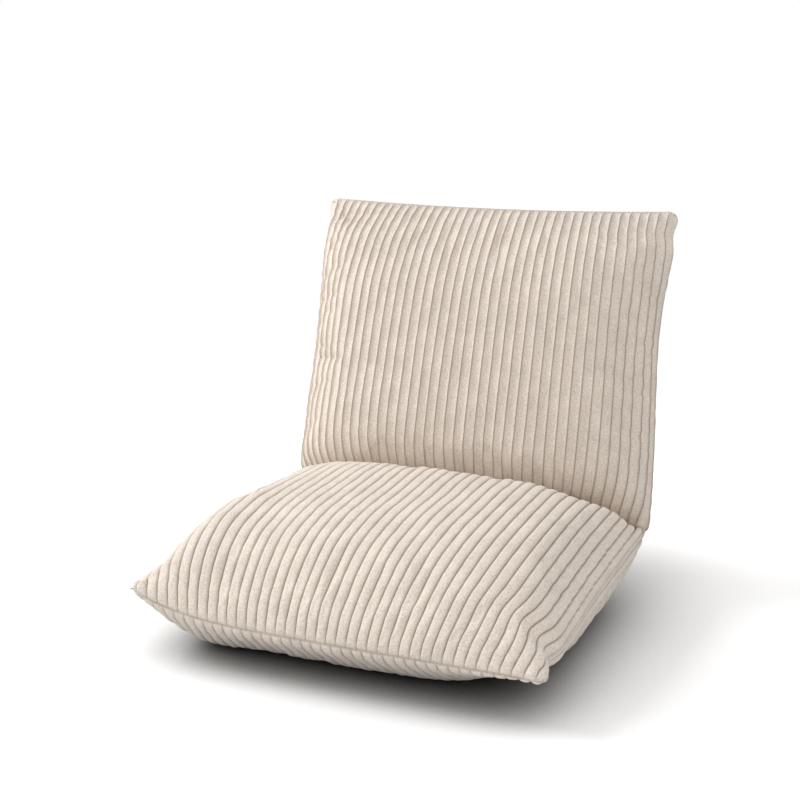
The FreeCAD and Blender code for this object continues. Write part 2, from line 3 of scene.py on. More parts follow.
import bmesh
import bpy
import numpy as np
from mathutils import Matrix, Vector


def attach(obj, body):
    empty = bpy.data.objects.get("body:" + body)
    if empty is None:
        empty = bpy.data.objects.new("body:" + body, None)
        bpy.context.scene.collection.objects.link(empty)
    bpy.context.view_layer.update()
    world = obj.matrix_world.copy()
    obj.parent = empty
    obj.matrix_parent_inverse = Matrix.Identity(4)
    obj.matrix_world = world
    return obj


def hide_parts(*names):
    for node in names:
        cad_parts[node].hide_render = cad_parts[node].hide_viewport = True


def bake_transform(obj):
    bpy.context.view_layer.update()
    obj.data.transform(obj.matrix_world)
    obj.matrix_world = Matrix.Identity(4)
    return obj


bl_info = {
    "name": "Folding Floor Chair",
    "version": (1, 0, 0),
    "blender": (4, 5, 0),
    "location": "3D View > Sidebar > Floor Chair",
    "description": "Dresses a folding floor chair's frame with corduroy cushions and steel",
    "category": "Object",
}

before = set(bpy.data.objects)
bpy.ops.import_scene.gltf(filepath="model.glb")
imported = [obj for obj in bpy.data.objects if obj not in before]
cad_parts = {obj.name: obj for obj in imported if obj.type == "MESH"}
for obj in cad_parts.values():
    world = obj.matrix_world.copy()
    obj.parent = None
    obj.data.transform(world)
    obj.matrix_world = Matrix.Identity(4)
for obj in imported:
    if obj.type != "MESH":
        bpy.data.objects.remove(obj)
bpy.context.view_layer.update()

HINGE_LINE = Vector((0.0, 0.1975, 0.09))
RECLINE = radians(16.0)

# Outlines from the waist to the far end: place along the cushion, height off its seam, in mm
SEAT_TOP = ((0, 0), (8, 9), (22, 29), (36, 48), (48, 61), (64, 70), (90, 75), (138, 80),
            (237, 83), (290, 78), (325, 69), (350, 58), (368, 46), (380, 33), (389, 19),
            (393, 9), (395, 1))
SEAT_BASE = ((0, 0), (4, 30), (12, 56), (26, 80), (47, 91), (118, 94), (230, 94), (265, 82),
             (285, 71), (300, 66), (317, 61), (330, 55), (352, 43), (368, 31), (380, 21),
             (389, 12), (393, 6), (395, 1))
BACK_FRONT = ((0, 0), (8, 9), (22, 27), (36, 43), (50, 54), (70, 60), (110, 62), (196, 60),
              (270, 54), (320, 42), (350, 31), (370, 21), (383, 12), (389, 6), (392, 1))
BACK_REAR = ((0, 0), (2, 30), (8, 41), (20, 46), (40, 51), (78, 56), (150, 59), (196, 59),
             (275, 55), (320, 43), (350, 31), (370, 21), (383, 12), (389, 6), (392, 1))

# Places where a side seam is drawn in: side, place from the waist, reach, depth, in metres
SEAT_PULLS = ((1, 0.352, 0.018, 0.010), (-1, 0.366, 0.020, 0.002))
BACK_PULLS = ((1, 0.250, 0.110, 0.011), (1, 0.366, 0.014, 0.004), (-1, 0.370, 0.014, 0.003),
              (-1, 0.200, 0.120, 0.003))

# Places where a half cushion is fuller: x, place from the waist, reach of both, height, in metres
SEAT_TOP_SWELLS = ((-0.205, 0.280, 0.045, 0.130, 0.024), (-0.030, 0.090, 0.130, 0.050, 0.004),
                   (0.180, 0.060, 0.040, 0.050, -0.004))
SEAT_BASE_SWELLS = ((-0.205, 0.350, 0.070, 0.045, 0.016), (0.215, 0.320, 0.070, 0.090, -0.022))
BACK_FRONT_SWELLS = ((0.120, 0.300, 0.080, 0.060, 0.004), (-0.100, 0.110, 0.090, 0.060, 0.004))

# Samples along an outline and across a section, from which even steps are taken
OUTLINE_SAMPLES = 2000
SECTION_SAMPLES = 721

# A half cushion's section: how square its crown is, how it falls to the seam, least height
SECTION_POWER = 3.6
SECTION_ROOT = 2.3
LEAST_HEIGHT = 0.00001

# A half cushion's grid: rows from the waist, and how often each is split for the wales
CUSHION_ROWS = 56
ROW_SPLIT = 3

# A half cushion's edges: draw-in of the sides in metres, spread of the lip, and the powers
# with which swells, pulls, the sag and the ears fade across and along it
SIDE_DRAW_IN = 0.004
LIP_SPREAD = 1.4
SWELL_POWERS = (8, 24)
PULL_POWER = 4
SAG_POWERS = (2, 8)
EAR_POWERS = (5, 7)

# How far the seat's left and right ears shift across, in metres
EAR_SHIFTS = (-0.012, 0.006)

# A wale: its columns, its section and its round at the seams
WALE_STEPS = np.linspace(0, 0.9, 10)
WALE_POWER = 3.4
WALE_ROOT = 0.55
EDGE_ROUND = 0.0055

# Random seeds of the cushions' two halves and of the waist's two strips
COVER_SEEDS = (11, 23)
STRIP_SEED = 41
FOLD_SEED = 47

# Unevenness of the wales: samples between its features, and its height in metres
FINE_LUMPS = ((5, 4), 0.0004)
BROAD_LUMPS = ((16, 14), 0.0005)
CRUMPLE = ((30, 12), 0.0024)
SWAY_CELL = (20, 34)
SWAY = 0.0004
WAIST_SWAY = 0.0014

# How far from a seam or from the waist each of these reaches, in metres
INNER_REACH = 0.03
WAIST_REACH = 0.07
GROOVE_REACH = 0.012
WAIST_SHADE_REACH = 0.04
SEAM_SHADE_REACH = 0.004

# How dark the painted shade is in the grooves at the edge, at the waist's crease and along the far
# seam
EDGE_GROOVE_SHADE = 0.2
WAIST_SHADE = 0.35
SEAM_SHADE = 0.7

# Cloth of the cushions, and how many columns and rows of it are held at its rim
CLOTH_FRAMES = 20
CLOTH_SETTINGS = {
    "quality": 6,
    "mass": 0.25,
    "tension_stiffness": 12,
    "compression_stiffness": 12,
    "shear_stiffness": 4,
    "bending_stiffness": 0.25,
    "tension_damping": 12,
    "compression_damping": 12,
    "shear_damping": 8,
    "air_damping": 2,
    "use_pressure": True,
    "uniform_pressure_force": 4,
}
HELD_RIM = 6
HELD_WAIST = 3
FLOOR_TOUCH = 0.0005

# Points closer than this become one, in metres
SEAM_WELD = 1e-6
FOAM_WELD = 1e-5

# Strips of the cover at the waist: cloth thickness, rows, and how far each reaches round
STRIP_CLOTH = 0.003
STRIP_TUCK = radians(45)
STRIP_ROWS = 24
FOLD_ROWS = 18
FOLD_HALF_WIDTH = 0.215
FOLD_POWER = 12
FOLD_TURNS = (pi * 1.5 - radians(20), pi * 1.5 - radians(86))

# Studio: floor, reach of the contact shadow painted on it, run of its fade, and its tone for light
# and eye
FLOOR_SIZE = 6
CONTACT_REACH = 0.20
FLOOR_FADE = (0.6, 1.3)
FLOOR_TONES = (0.85, 1.3)
LAMP_AIM = Vector((0, 0.05, 0.15))

# Camera, as fitted to the photograph
CAMERA_AIM = Vector((0.0, 0.0975, 0.2))
CAMERA_AZIMUTH = radians(23.0)
CAMERA_ELEVATION = radians(15.2)
CAMERA_DISTANCE = 1.697
CAMERA_LENS = 62.9
CAMERA_SENSOR = 36
CAMERA_SHIFT = (-0.0436, 0.055)


class ChairSizes(bpy.types.PropertyGroup):
    width: bpy.props.FloatProperty(
        name="Width", description="Width across the cushions", default=0.480, unit="LENGTH"
    )
    seat_length: bpy.props.FloatProperty(
        name="Seat length", description="Seat cushion from the waist to its front seam",
        default=0.395, unit="LENGTH",
    )
    back_length: bpy.props.FloatProperty(
        name="Back length", description="Back cushion from the waist to its top seam",
        default=0.392, unit="LENGTH",
    )
    seam_drop: bpy.props.FloatProperty(
        name="Seam drop", description="How far the seat's side seam falls towards the front",
        default=0.034, unit="LENGTH",
    )
    lip: bpy.props.FloatProperty(
        name="Lip", description="Half thickness of the cushion's edge beside its seam",
        default=0.0045, unit="LENGTH",
    )
    waist_round: bpy.props.FloatProperty(
        name="Waist round", description="Radius of a cushion's corners at the waist",
        default=0.004, unit="LENGTH",
    )
    waist_core: bpy.props.FloatProperty(
        name="Waist core", description="Radius to which the waist strips close at their ends",
        default=0.0015, unit="LENGTH",
    )
    ear_round: bpy.props.FloatProperty(
        name="Ear round", description="Radius of a cushion's corners",
        default=0.012, unit="LENGTH",
    )
    seat_sag: bpy.props.FloatProperty(
        name="Seat sag", description="How far the front seam's middle lies behind its ears",
        default=-0.003, unit="LENGTH",
    )
    back_sag: bpy.props.FloatProperty(
        name="Back sag", description="How far the top seam's middle lies under its ears",
        default=0.006, unit="LENGTH",
    )
    left_ear: bpy.props.FloatProperty(
        name="Left ear", description="Lift of the seat's front left corner",
        default=0.028, unit="LENGTH",
    )
    right_ear: bpy.props.FloatProperty(
        name="Right ear", description="Lift of the seat's front right corner",
        default=-0.002, unit="LENGTH",
    )
    fullness: bpy.props.FloatProperty(
        name="Fullness", description="Share by which the cloth is longer than its filling",
        default=0.009, min=0, max=0.1,
    )
    pucker_limit: bpy.props.FloatProperty(
        name="Pucker limit", description="Furthest that the cloth moves when it puckers",
        default=0.0035, unit="LENGTH",
    )
    wales: bpy.props.IntProperty(
        name="Wales", description="Ridges of the corduroy across a cushion", default=40
    )
    wale_height: bpy.props.FloatProperty(
        name="Wale height", description="Height of a ridge over its grooves",
        default=0.0032, unit="LENGTH",
    )


class CorduroyLook(bpy.types.PropertyGroup):
    crest: bpy.props.FloatVectorProperty(
        name="Crest", description="Colour of the pile on a ridge", subtype="COLOR",
        size=4, min=0, max=1, default=(0.81, 0.722, 0.635, 1),
    )
    # The groove colour is painted shade: the shade in the grooves between ridges, also used at the
    # waist and along the far seam
    groove_shade: bpy.props.FloatVectorProperty(
        name="Groove", description="Colour of the ground cloth between ridges", subtype="COLOR",
        size=4, min=0, max=1, default=(0.53, 0.42, 0.315, 1),
    )


class FoamLook(bpy.types.PropertyGroup):
    cell: bpy.props.FloatVectorProperty(
        name="Cell", description="Colour inside a foam cell", subtype="COLOR",
        size=4, min=0, max=1, default=(0.62, 0.55, 0.36, 1),
    )
    wall: bpy.props.FloatVectorProperty(
        name="Wall", description="Colour of the walls between foam cells", subtype="COLOR",
        size=4, min=0, max=1, default=(0.86, 0.80, 0.60, 1),
    )
    voxel: bpy.props.FloatProperty(
        name="Voxel", description="Size of the steps that round a slab's edges",
        default=0.005, unit="LENGTH",
    )


class SteelLook(bpy.types.PropertyGroup):
    coat: bpy.props.FloatVectorProperty(
        name="Coat", description="Colour of the powder coat on the frame tubes",
        subtype="COLOR", size=4, min=0, max=1, default=(0.020, 0.020, 0.022, 1),
    )
    zinc: bpy.props.FloatVectorProperty(
        name="Zinc", description="Colour of the zinc on the hinges",
        subtype="COLOR", size=4, min=0, max=1, default=(0.60, 0.58, 0.50, 1),
    )
    spring: bpy.props.FloatVectorProperty(
        name="Spring", description="Colour of the leaf springs",
        subtype="COLOR", size=4, min=0, max=1, default=(0.42, 0.43, 0.46, 1),
    )


class StudioSizes(bpy.types.PropertyGroup):
    key_power: bpy.props.FloatProperty(
        name="Key power", description="Power of the lamp on the left", default=28,
        unit="POWER",
    )
    front_power: bpy.props.FloatProperty(
        name="Front power", description="Power of the lamp in front", default=6,
        unit="POWER",
    )
    ambient: bpy.props.FloatProperty(
        name="Ambient", description="Strength of the white light all round", default=0.75,
    )


def smooth_line(points, places):
    """Heights at places along an outline, on a curve that never overshoots its points."""
    xs, ys = (np.array(column, float) for column in zip(*points))
    steps = np.diff(ys) / np.diff(xs)
    slopes = np.empty(len(xs))
    slopes[0], slopes[-1] = steps[0], steps[-1]
    before, after = steps[:-1], steps[1:]
    same = before * after > 0
    slopes[1:-1] = np.where(same, 2 * before * after / np.where(same, before + after, 1), 0)
    i = np.clip(np.searchsorted(xs, places) - 1, 0, len(xs) - 2)
    run = xs[i + 1] - xs[i]
    t = (places - xs[i]) / run
    return (
        (2 * t**3 - 3 * t**2 + 1) * ys[i]
        + (t**3 - 2 * t**2 + t) * run * slopes[i]
        + (3 * t**2 - 2 * t**3) * ys[i + 1]
        + (t**3 - t**2) * run * slopes[i + 1]
    )


def even_rows(outline, count):
    """Places along an outline at equal steps of its own length."""
    dense = np.linspace(outline[0][0], outline[-1][0], OUTLINE_SAMPLES)
    heights = smooth_line(outline, dense)
    run = np.concatenate([[0], np.cumsum(np.hypot(np.diff(dense), np.diff(heights)))])
    return np.interp(np.linspace(0, run[-1], count + 1), run, dense)


def even_columns(half_width, height, count, power=SECTION_POWER):
    """Points across a cushion's half section, at equal steps of its own length."""
    turn = np.linspace(-pi / 2, pi / 2, SECTION_SAMPLES)
    u = np.sin(turn)
    crown = (1 - np.abs(u) ** power) ** (1 / SECTION_ROOT)
    x, t = half_width * u, height * crown
    run = np.concatenate([[0], np.cumsum(np.hypot(np.diff(x), np.diff(t)))])
    places = np.linspace(0, run[-1], count + 1)
    return np.interp(places, run, x), np.interp(places, run, t)


def rounded_corners(x, s, length, waist_radius, far_radius):
    """Draws the four corners of a grid in to a round."""
    half_width = x[-1:]
    for end, inwards, radius in ((0, 1, waist_radius), (length, -1, far_radius)):
        a = np.clip(radius - (half_width - np.abs(x)), 0, radius)
        b = np.clip(radius - np.abs(s - end), 0, radius)
        corner = (a > 0) & (b > 0)
        share = np.maximum(a, b) / np.maximum(np.hypot(a, b), 1e-9)
        x = np.where(corner, np.sign(x) * (half_width - radius + a * share), x)
        s = np.where(corner, end + inwards * (radius - b * share), s)
    return x, s


def half_cushion(outline, length, sag, sizes, side, pulls, swells):
    """Grid of half a cushion: x across, s from the waist, t off the seam plane, in metres."""
    half_width, columns, rows = sizes.width / 2, sizes.wales * 2, CUSHION_ROWS
    places = even_rows(outline, rows)
    heights = smooth_line(outline, places) / 1000
    x = np.zeros((columns + 1, rows + 1))
    t = np.zeros((columns + 1, rows + 1))
    s = np.tile(places / places[-1] * length, (columns + 1, 1))
    for j, height in enumerate(heights):
        edge = half_width - SIDE_DRAW_IN * sin(pi * s[0, j] / length)
        x[:, j], t[:, j] = even_columns(edge, max(height, LEAST_HEIGHT), columns)
    rim = np.minimum(np.minimum(x[-1:] - np.abs(x), length - s), s)
    lip = sizes.lip * np.sqrt(1 - (1 - np.clip(rim / (LIP_SPREAD * sizes.lip), 0, 1)) ** 2)
    t = (np.maximum(t, 0) ** 3 + lip**3) ** (1 / 3)
    t[[0, -1]] = 0
    t[:, [0, -1]] = 0
    u = np.abs(x) / half_width
    inside = (1 - u ** SWELL_POWERS[0]) * (1 - (s / length) ** SWELL_POWERS[1])
    for across, along, wide, long, height in swells:
        t = t + height * inside * np.exp(-(((x - across) / wide) ** 2 + ((s - along) / long) ** 2))
    x, s = rounded_corners(x, s, length, sizes.waist_round, sizes.ear_round)
    for which, place, reach, depth in pulls:
        pull = depth * np.exp(-(((s - place) / reach) ** 2)) * u**PULL_POWER
        x = x - np.where(x * which > 0, which * pull, 0)
    s = s - sag * (1 - u ** SAG_POWERS[0]) * (s / length) ** SAG_POWERS[1]
    return np.stack([x, s, side * t], -1)


def seat_points(grid, sizes):
    """Seat cushion's points in the chair's frame, left ear lifted and right one low."""
    x, s, t = grid[..., 0], grid[..., 1], grid[..., 2]
    out = np.clip(np.abs(x) / (sizes.width / 2), 0, 1)
    near = out ** EAR_POWERS[0] * (s / sizes.seat_length) ** EAR_POWERS[1]
    left = x < 0
    seam = HINGE_LINE.z - sizes.seam_drop * s / sizes.seat_length
    seam = seam + near * np.where(left, sizes.left_ear, sizes.right_ear)
    x = x + near * np.where(left, *EAR_SHIFTS)
    return np.stack([x, HINGE_LINE.y - s, np.maximum(seam + t, 0.0)], -1)


def back_points(grid):
    """Back cushion's points in the chair's frame."""
    x, s, t = grid[..., 0], grid[..., 1], grid[..., 2]
    y = HINGE_LINE.y + s * sin(RECLINE) - t * cos(RECLINE)
    z = HINGE_LINE.z + s * cos(RECLINE) + t * sin(RECLINE)
    return np.stack([x, y, z], -1)


def resample(values, places, axis):
    """Values of a grid at fractional places along an axis, on a smooth curve."""
    values = np.moveaxis(values, axis, 0)
    last = len(values) - 1
    i = np.clip(np.floor(places).astype(int), 0, last - 1)
    t = (places - i).reshape(-1, *[1] * (values.ndim - 1))
    first = 2 * values[0] - values[1]
    final = 2 * values[-1] - values[-2]
    padded = np.concatenate([first[None], values, final[None]])
    a, b, c, d = padded[i], padded[i + 1], padded[i + 2], padded[i + 3]
    out = 0.5 * (
        2 * b + (c - a) * t + (2 * a - 5 * b + 4 * c - d) * t**2 + (3 * b - a - 3 * c + d) * t**3
    )
    return np.moveaxis(out, 0, axis)


def normals(points):
    """Unit normals of a grid of points, from its own directions."""
    across, along = np.gradient(points, axis=0), np.gradient(points, axis=1)
    n = np.cross(across, along)
    return n / np.maximum(np.linalg.norm(n, axis=-1, keepdims=True), 1e-12)


def noise_field(shape, cell, seed):
    """Smooth random field from -1 to 1 with features a given number of samples apart."""
    rng = np.random.default_rng(seed)
    coarse = rng.uniform(-1, 1, (int(shape[0] / cell[0]) + 3, int(shape[1] / cell[1]) + 3))
    rows = resample(coarse, np.linspace(0, coarse.shape[0] - 1.001, shape[0]), 0)
    return resample(rows, np.linspace(0, coarse.shape[1] - 1.001, shape[1]), 1)


def corduroy(coarse, sizes, phase, seed, outwards):
    """A half cushion's points raised into wales that run from the waist to the far seam.

    Returns the points and each one's painted shade: how deep it lies in a groove, from 0 on a
    crest to 1, with more at the waist and along the far seam.
    """
    columns = coarse.shape[0] - 1
    per_wale = columns / sizes.wales
    places = []
    for wale in range(sizes.wales):
        places.extend((wale + WALE_STEPS) * per_wale)
    places = np.array(places + [float(columns)])
    rows = coarse.shape[1] - 1
    row_count = rows * ROW_SPLIT
    base = resample(resample(coarse, places, 0), np.linspace(0, rows, row_count + 1), 1)
    wale = (places / per_wale + phase) % 1.0
    profile = np.clip(1 - np.abs(2 * wale - 1) ** WALE_POWER, 0, 1) ** WALE_ROOT
    step_along = np.linalg.norm(np.diff(base, axis=1), axis=-1)
    run = np.concatenate([np.zeros((len(places), 1)), np.cumsum(step_along, axis=1)], axis=1)
    far = run[:, -1:] - run
    step_across = np.linalg.norm(np.diff(base, axis=0), axis=-1)
    over = np.concatenate([np.zeros((1, row_count + 1)), np.cumsum(step_across, axis=0)])
    side = np.minimum(over, over[-1:] - over)
    edge = np.minimum(np.minimum(run, far), side)
    rounded = np.sqrt(np.clip(1 - (1 - np.clip(edge / EDGE_ROUND, 0, 1)) ** 2, 0, 1))
    height = profile[:, None] * rounded
    lumps = noise_field(height.shape, FINE_LUMPS[0], seed) * FINE_LUMPS[1]
    lumps += noise_field(height.shape, BROAD_LUMPS[0], seed + 1) * BROAD_LUMPS[1]
    n = normals(base) * outwards
    lift = sizes.wale_height * (height - 1) + lumps * rounded
    inside = np.clip(edge / INNER_REACH, 0, 1)
    waist = np.exp(-run / WAIST_REACH)
    sway = noise_field(height.shape, SWAY_CELL, seed + 2) * (SWAY + WAIST_SWAY * waist)
    crumple = noise_field(height.shape, CRUMPLE[0], seed + 3) * CRUMPLE[1] * waist
    across = np.gradient(base, axis=0)
    across /= np.maximum(np.linalg.norm(across, axis=-1, keepdims=True), 1e-12)
    moved = base + n * (lift + crumple * inside)[..., None] + across * (sway * inside)[..., None]
    # Painted shade in the grooves, weaker within GROOVE_REACH of the rim
    shown = EDGE_GROOVE_SHADE + (1 - EDGE_GROOVE_SHADE) * np.clip(edge / GROOVE_REACH, 0, 1)
    depth = (1 - profile[:, None]) * shown
    # Painted shade in the waist's crease
    depth = depth + WAIST_SHADE * np.exp(-run / WAIST_SHADE_REACH)
    # Painted shade along the far seam, fading out towards the sides
    seam = SEAM_SHADE * (1 - np.clip(far / SEAM_SHADE_REACH, 0, 1))
    seam = seam * np.clip(side / INNER_REACH, 0, 1)
    moved[..., 2] = np.maximum(moved[..., 2], 0)
    return moved, np.maximum(depth, seam)


def grid_mesh(bm, points, depth, depth_layer, flip):
    """Adds a grid whose vertices take the given places."""
    across, along = points.shape[:2]
    made = bmesh.ops.create_grid(bm, x_segments=across - 1, y_segments=along - 1, size=1)
    verts = sorted(made["verts"], key=lambda v: (round(v.co.y, 7), round(v.co.x, 7)))
    flat = points.transpose(1, 0, 2).reshape(-1, 3)
    deep = depth.T.reshape(-1)
    for vert, place, value in zip(verts, flat, deep):
        vert.co = place
        vert[depth_layer] = value
    if flip:
        faces = {face for vert in verts for face in vert.link_faces}
        bmesh.ops.reverse_faces(bm, faces=list(faces))


def add_object(name, bm):
    """Puts a built mesh into the scene as a new object."""
    mesh = bpy.data.meshes.new(name)
    bm.to_mesh(mesh)
    bm.free()
    made = bpy.data.objects.new(name, mesh)
    bpy.context.scene.collection.objects.link(made)
    return made


def wrinkled(name, grids, sizes):
    """Two halves of a cushion after their cloth has puckered under a little pressure."""
    scene = bpy.context.scene
    bm = bmesh.new()
    order = bm.verts.layers.float.new("order")
    start = 0
    for grid, flip in zip(grids, (False, True)):
        count = grid.shape[0] * grid.shape[1]
        numbers = np.arange(start, start + count, dtype=float)
        grid_mesh(bm, grid, numbers.reshape(grid.shape[1], grid.shape[0]).T, order, flip)
        start += count
    bmesh.ops.remove_doubles(bm, verts=bm.verts, dist=SEAM_WELD)
    bmesh.ops.recalc_face_normals(bm, faces=bm.faces)
    bm.verts.ensure_lookup_table()
    places = np.array([vert.co for vert in bm.verts])
    numbers = np.array([vert[order] for vert in bm.verts]).round().astype(int)
    cloth = add_object(name + "_cloth", bm)
    across = grids[0].shape[0]
    size = across * grids[0].shape[1]
    row, column = np.divmod(numbers % size, across)
    rim = np.minimum(np.minimum(column, across - 1 - column), grids[0].shape[1] - 1 - row)
    held = cloth.vertex_groups.new(name="held")
    hold = np.clip(1 - rim / HELD_RIM, 0, 1)
    hold = np.maximum(hold, np.clip(1 - row / HELD_WAIST, 0, 1))
    hold = np.where(places[:, 2] < FLOOR_TOUCH, 1.0, hold)
    for index, weight in enumerate(hold):
        held.add([index], float(weight), "REPLACE")
    modifier = cloth.modifiers.new("cloth", "CLOTH")
    settings = modifier.settings
    for setting, value in CLOTH_SETTINGS.items():
        setattr(settings, setting, value)
    settings.shrink_min = -sizes.fullness
    settings.effector_weights.gravity = 0
    settings.vertex_group_mass = "held"
    modifier.collision_settings.use_collision = False
    modifier.point_cache.frame_start = 1
    modifier.point_cache.frame_end = CLOTH_FRAMES
    for number in range(1, CLOTH_FRAMES + 1):
        scene.frame_set(number)
    relaxed = cloth.evaluated_get(bpy.context.evaluated_depsgraph_get()).data
    after = np.array([vert.co for vert in relaxed.vertices])
    scene.frame_set(1)
    step = after - places
    far = np.linalg.norm(step, axis=-1, keepdims=True)
    step *= np.minimum(1, sizes.pucker_limit / np.maximum(far, 1e-9))
    moved = places + step
    moved[:, 2] = np.maximum(moved[:, 2], 0)
    flat = np.concatenate([grid.transpose(1, 0, 2).reshape(-1, 3) for grid in grids])
    flat[numbers] = moved
    bpy.data.objects.remove(cloth)
    halves = [
        flat[first:first + size].reshape(-1, across, 3).transpose(1, 0, 2)
        for first in (0, size)
    ]
    halves[1][[0, -1]] = halves[0][[0, -1]]
    halves[1][:, [0, -1]] = halves[0][:, [0, -1]]
    return halves


def cushion_object(name, top, base):
    """A closed cushion from its two halves, sewn together along their rims."""
    bm = bmesh.new()
    # This layer holds the painted shade of the grooves, the waist and the far seam
    depth_layer = bm.verts.layers.float.new("groove_shade")
    grid_mesh(bm, *top, depth_layer, False)
    grid_mesh(bm, *base, depth_layer, True)
    bmesh.ops.remove_doubles(bm, verts=bm.verts, dist=SEAM_WELD)
    for face in bm.faces:
        face.smooth = True
    bmesh.ops.recalc_face_normals(bm, faces=bm.faces)
    return add_object(name, bm)


def new_material(name):
    material = bpy.data.materials.new(name)
    material.use_nodes = True
    nodes = material.node_tree.nodes
    return material, nodes, material.node_tree.links, nodes["Principled BSDF"]


def set_inputs(node, values):
    """Sets a node's own values by name."""
    for name, value in values:
        node.inputs[name].default_value = value


def grain_group():
    """Fine and broad noise over an object's own coordinates, shared by the materials."""
    group = bpy.data.node_groups.new("surface_grain", "ShaderNodeTree")
    for name, value in (("Fine Scale", 400), ("Broad Scale", 40)):
        socket = group.interface.new_socket(name, in_out="INPUT", socket_type="NodeSocketFloat")
        socket.default_value = value
    for name in ("Fine", "Broad"):
        group.interface.new_socket(name, in_out="OUTPUT", socket_type="NodeSocketFloat")
    nodes, links = group.nodes, group.links
    given, result = nodes.new("NodeGroupInput"), nodes.new("NodeGroupOutput")
    place = nodes.new("ShaderNodeTexCoord")
    for name, detail in (("Fine", 4), ("Broad", 3)):
        noise = nodes.new("ShaderNodeTexNoise")
        noise.inputs["Detail"].default_value = detail
        links.new(place.outputs["Object"], noise.inputs["Vector"])
        links.new(given.outputs[name + " Scale"], noise.inputs["Scale"])
        links.new(noise.outputs["Fac"], result.inputs[name])
    return group


def grain(nodes, fine, broad):
    """A material's own use of the shared grain, at its two scales."""
    node = nodes.new("ShaderNodeGroup")
    node.node_tree = bpy.data.node_groups.get("surface_grain") or grain_group()
    set_inputs(node, (("Fine Scale", fine), ("Broad Scale", broad)))
    return node


def spread(nodes, links, value, low, high, span=0.18):
    """Stretches a noise value round its middle to run between two figures."""
    node = nodes.new("ShaderNodeMapRange")
    set_inputs(node, (("From Min", 0.5 - span), ("From Max", 0.5 + span)))
    set_inputs(node, (("To Min", low), ("To Max", high)))
    links.new(value, node.inputs["Value"])
    return node.outputs["Result"]


def maths(nodes, links, operation, first, second):
    """Joins two linked values into one."""
    node = nodes.new("ShaderNodeMath")
    node.operation = operation
    links.new(first, node.inputs[0])
    links.new(second, node.inputs[1])
    return node.outputs["Value"]


def base_colour(nodes, links, shader, factor):
    """Makes a shader's base colour a colour times a factor, and returns the colour's socket."""
    tint = nodes.new("ShaderNodeVectorMath")
    tint.operation = "SCALE"
    links.new(factor, tint.inputs["Scale"])
    links.new(tint.outputs["Vector"], shader.inputs["Base Color"])
    return tint.inputs[0]


def relief(nodes, links, shader, height, strength, distance):
    """Gives a shader small bumps from a height."""
    bump = nodes.new("ShaderNodeBump")
    set_inputs(bump, (("Strength", strength), ("Distance", distance)))
    links.new(height, bump.inputs["Height"])
    links.new(bump.outputs["Normal"], shader.inputs["Normal"])


def corduroy_material(look):
    """Ivory pile with painted shade in its grooves, at the waist and along the far seam."""
    material, nodes, links, shader = new_material("corduroy_pile")
    # Painted shade in the grooves, at the waist and along the far seam, read from the mesh's
    # groove attribute
    groove_shade = nodes.new("ShaderNodeAttribute")
    groove_shade.attribute_name = "groove_shade"
    pile = grain(nodes, 520, 34)
    fine, broad = pile.outputs["Fine"], pile.outputs["Broad"]
    flecks = spread(nodes, links, fine, -0.10, 0.10)
    ragged = maths(nodes, links, "ADD", groove_shade.outputs["Fac"], flecks)
    # Ramp from the crest colour to the painted groove shade
    ramp = nodes.new("ShaderNodeValToRGB")
    ramp.color_ramp.elements[0].position = 0.22
    ramp.color_ramp.elements[0].color = look.crest
    ramp.color_ramp.elements[1].position = 0.88
    ramp.color_ramp.elements[1].color = look.groove_shade
    links.new(ragged, ramp.inputs["Fac"])
    # Random pile tone, partly painted sheen: its bright flecks stand for highlights on the pile
    pile_tone_and_sheen = spread(nodes, links, fine, 0.84, 1.13)
    cloth_tone = spread(nodes, links, broad, 0.95, 1.04, 0.15)
    tone = maths(nodes, links, "MULTIPLY", pile_tone_and_sheen, cloth_tone)
    links.new(ramp.outputs["Color"], base_colour(nodes, links, shader, tone))
    relief(nodes, links, shader, fine, 0.8, 0.0014)
    set_inputs(shader, (
        ("Roughness", 0.92), ("Specular IOR Level", 0.2),
        ("Sheen Weight", 0.35), ("Sheen Roughness", 0.5),
    ))
    return material


def foam_material(look):
    """Cream foam with open cells."""
    material, nodes, links, shader = new_material("foam_cells")
    place = nodes.new("ShaderNodeTexCoord")
    cells = nodes.new("ShaderNodeTexVoronoi")
    cells.inputs["Scale"].default_value = 500
    links.new(place.outputs["Object"], cells.inputs["Vector"])
    ramp = nodes.new("ShaderNodeValToRGB")
    ramp.color_ramp.elements[0].color = look.cell
    ramp.color_ramp.elements[1].color = look.wall
    links.new(cells.outputs["Distance"], ramp.inputs["Fac"])
    cut = grain(nodes, 700, 30)
    tone = spread(nodes, links, cut.outputs["Broad"], 0.92, 1.04)
    links.new(ramp.outputs["Color"], base_colour(nodes, links, shader, tone))
    relief(nodes, links, shader, cells.outputs["Distance"], 1.0, 0.0006)
    set_inputs(shader, (("Roughness", 0.95),))
    return material


def metal(name, colour, roughness, metallic, fine, broad, bumps):
    """A coated or bare metal, with its own grain, tone and roughness."""
    material, nodes, links, shader = new_material(name)
    surface = grain(nodes, fine, broad)
    tone = spread(nodes, links, surface.outputs["Broad"], 0.85, 1.12)
    base_colour(nodes, links, shader, tone).default_value = colour[:3]
    rough = spread(nodes, links, surface.outputs["Fine"], roughness * 0.8, roughness * 1.25)
    links.new(rough, shader.inputs["Roughness"])
    relief(nodes, links, shader, surface.outputs["Fine"], 0.4, bumps)
    set_inputs(shader, (("Metallic", metallic),))
    return material


def shown_ray(nodes, links):
    """One for a ray from the camera, or off or through a surface, and none for light."""
    rays = nodes.new("ShaderNodeLightPath").outputs
    bounced = maths(
        nodes, links, "MAXIMUM", rays["Is Glossy Ray"], rays["Is Transmission Ray"]
    )
    return maths(nodes, links, "MAXIMUM", rays["Is Camera Ray"], bounced)


